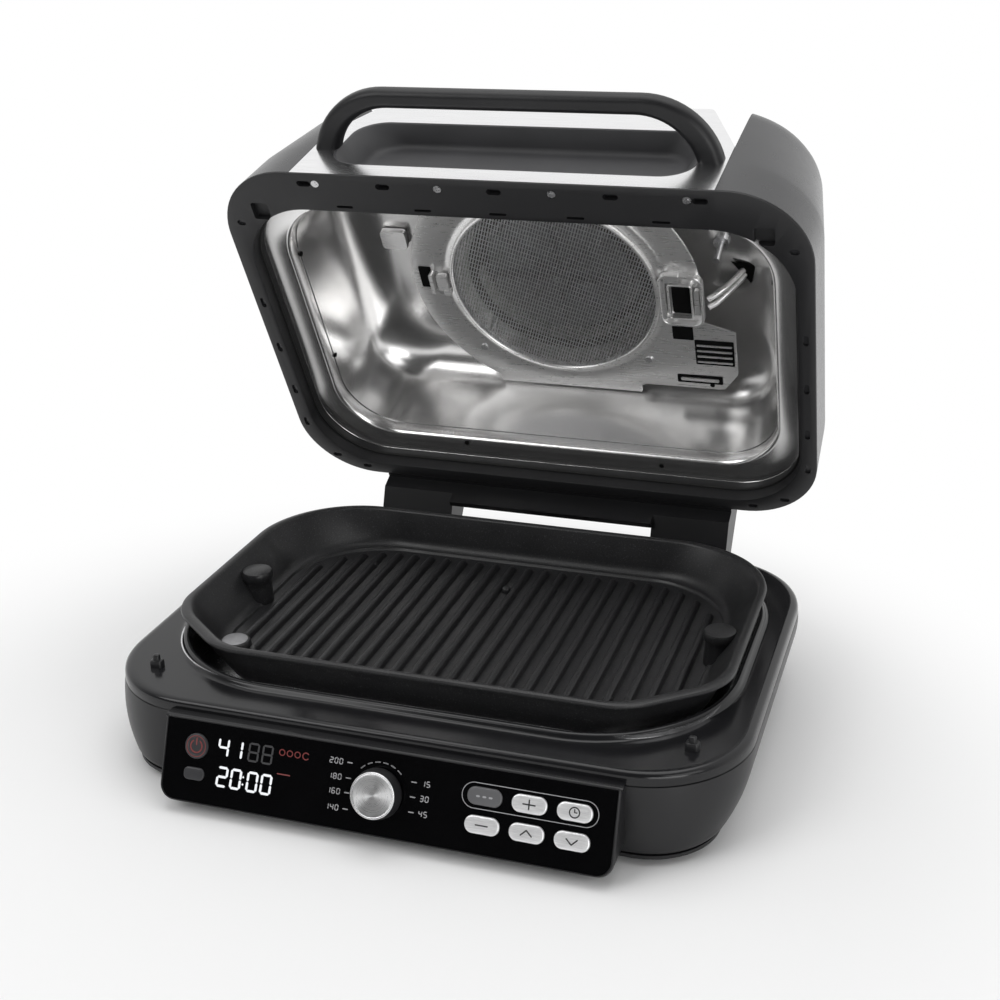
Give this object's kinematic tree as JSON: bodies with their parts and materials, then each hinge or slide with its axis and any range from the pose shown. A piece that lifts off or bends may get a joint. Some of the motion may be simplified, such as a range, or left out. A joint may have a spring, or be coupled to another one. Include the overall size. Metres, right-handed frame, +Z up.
{
  "type": "air fryer grill",
  "caption": "Countertop grill with a lift-out ridged plate, a slanted control panel and a hinged hood that holds a fan and a heating element behind a round splatter shield.",
  "frame": {"origin": "on the counter, under the middle of the part's box with the lid open", "axes": "+X to the right seen from the front, +Y to the rear, +Z up"},
  "size_m": [0.45, 0.5326, 0.4344],
  "materials": {
    "housing_plastic": "fine matt grain",
    "rim_plastic": "smooth satin",
    "shell_plastic": "smooth satin",
    "hood_steel": "fine brushed",
    "liner_steel": "bright rolled",
    "screen_steel": "woven",
    "screw_steel": "bright",
    "element_steel": "heat stained",
    "plate_coating": "non-stick coating on cast aluminium",
    "fascia_gloss": "high gloss",
    "key_silver": "satin metallic",
    "key_dark": "satin",
    "dial_dark": "satin",
    "dial_metal": "spun",
    "rubber": "matt",
    "bush_brass": "turned",
    "board_green": "solder mask",
    "motor_grey": "plain"
  },
  "bodies": {
    "base": {"base_housing": "housing_plastic", "base_deck": "housing_plastic", "bottom_cover": "housing_plastic", "rubber_feet": "rubber", "cover_screws": "screw_steel", "deck_pegs": "housing_plastic", "well_liner": "liner_steel", "plate_rests": "liner_steel", "lower_element": "element_steel", "element_clips": "liner_steel", "plate_sensor": "liner_steel", "console_frame": "housing_plastic", "fascia": "fascia_gloss", "display_module": "fascia_gloss", "control_board": "board_green", "encoder_body": "motor_grey", "power_board": "board_green", "cord_gland": "housing_plastic", "hinge_brackets": "housing_plastic", "hinge_pins": "screw_steel", "bracket_screws": "screw_steel", "cup_runners": "housing_plastic"},
    "lid": {"lid_rim": "rim_plastic", "rim_screws": "screw_steel", "lid_shell": "shell_plastic", "lid_hood": "hood_steel", "lid_liner": "liner_steel", "lid_seal": "rubber", "handle": "rim_plastic", "handle_pocket": "rim_plastic", "hinge_arms": "rim_plastic", "hinge_bushes": "bush_brass", "fan_guard": "liner_steel", "guard_posts": "liner_steel", "guard_screws": "screw_steel", "shield_clips": "liner_steel", "upper_element": "element_steel", "fan_motor": "motor_grey", "motor_bracket": "liner_steel", "lid_sensor": "liner_steel"},
    "fan": {"fan_shaft": "screw_steel", "convection_fan": "liner_steel", "cooling_fan": "motor_grey"},
    "splatter_shield": {"shield_ring": "liner_steel", "shield_mesh": "screen_steel"},
    "plate": {"grill_plate": "plate_coating"},
    "cup": {"grease_cup": "housing_plastic"},
    "dial_stem": {"encoder_shaft": "screw_steel"},
    "dial": {"dial_knob": "dial_dark", "dial_cap": "dial_metal"},
    "power_button_cap": {"power_button": "key_dark"},
    "side_button_cap": {"side_button": "key_dark"},
    "key_1_cap": {"key_1": "key_dark"},
    "key_2_cap": {"key_2": "key_silver"},
    "key_3_cap": {"key_3": "key_silver"},
    "key_4_cap": {"key_4": "key_silver"},
    "key_5_cap": {"key_5": "key_silver"},
    "key_6_cap": {"key_6": "key_silver"}
  },
  "joints": [
    {"name": "lid_hinge", "type": "hinge", "parent": "base", "child": "lid", "pos_m": [0, 0.12843, 0.0385], "axis": [-1, 0, 0], "range_deg": [-63.5, 0]},
    {"name": "plate_lift", "type": "slide", "parent": "base", "child": "plate", "axis": [0, 0, 1], "range_m": [0, 0.08]},
    {"name": "shield_pull", "type": "slide", "parent": "lid", "child": "splatter_shield", "axis": [0, -0.8949, -0.4462], "range_m": [0, 0.09]},
    {"name": "fan_spin", "type": "hinge", "parent": "lid", "child": "fan", "pos_m": [0, 0.16224, 0.26989], "axis": [0, 0.8949, 0.4462], "continuous": true},
    {"name": "cup_slide", "type": "slide", "parent": "base", "child": "cup", "axis": [0, 1, 0], "range_m": [0, 0.06]},
    {"name": "dial_push", "type": "slide", "parent": "base", "child": "dial_stem", "axis": [0, 0.9171, -0.3987], "range_m": [0, 0.001], "stiffness_N_per_m": 800},
    {"name": "dial_turn", "type": "hinge", "parent": "dial_stem", "child": "dial", "pos_m": [0, -0.25643, 0.03713], "axis": [0, -0.9171, 0.3987], "continuous": true},
    {"name": "power_button_push", "type": "slide", "parent": "base", "child": "power_button_cap", "axis": [0, 0.9171, -0.3987], "range_m": [0, 0.001], "stiffness_N_per_m": 600},
    {"name": "side_button_push", "type": "slide", "parent": "base", "child": "side_button_cap", "axis": [0, 0.9171, -0.3987], "range_m": [0, 0.001], "stiffness_N_per_m": 600},
    {"name": "key_1_push", "type": "slide", "parent": "base", "child": "key_1_cap", "axis": [0, 0.9171, -0.3987], "range_m": [0, 0.001], "stiffness_N_per_m": 600},
    {"name": "key_2_push", "type": "slide", "parent": "base", "child": "key_2_cap", "axis": [0, 0.9171, -0.3987], "range_m": [0, 0.001], "stiffness_N_per_m": 600},
    {"name": "key_3_push", "type": "slide", "parent": "base", "child": "key_3_cap", "axis": [0, 0.9171, -0.3987], "range_m": [0, 0.001], "stiffness_N_per_m": 600},
    {"name": "key_4_push", "type": "slide", "parent": "base", "child": "key_4_cap", "axis": [0, 0.9171, -0.3987], "range_m": [0, 0.001], "stiffness_N_per_m": 600},
    {"name": "key_5_push", "type": "slide", "parent": "base", "child": "key_5_cap", "axis": [0, 0.9171, -0.3987], "range_m": [0, 0.001], "stiffness_N_per_m": 600},
    {"name": "key_6_push", "type": "slide", "parent": "base", "child": "key_6_cap", "axis": [0, 0.9171, -0.3987], "range_m": [0, 0.001], "stiffness_N_per_m": 600}
  ]
}
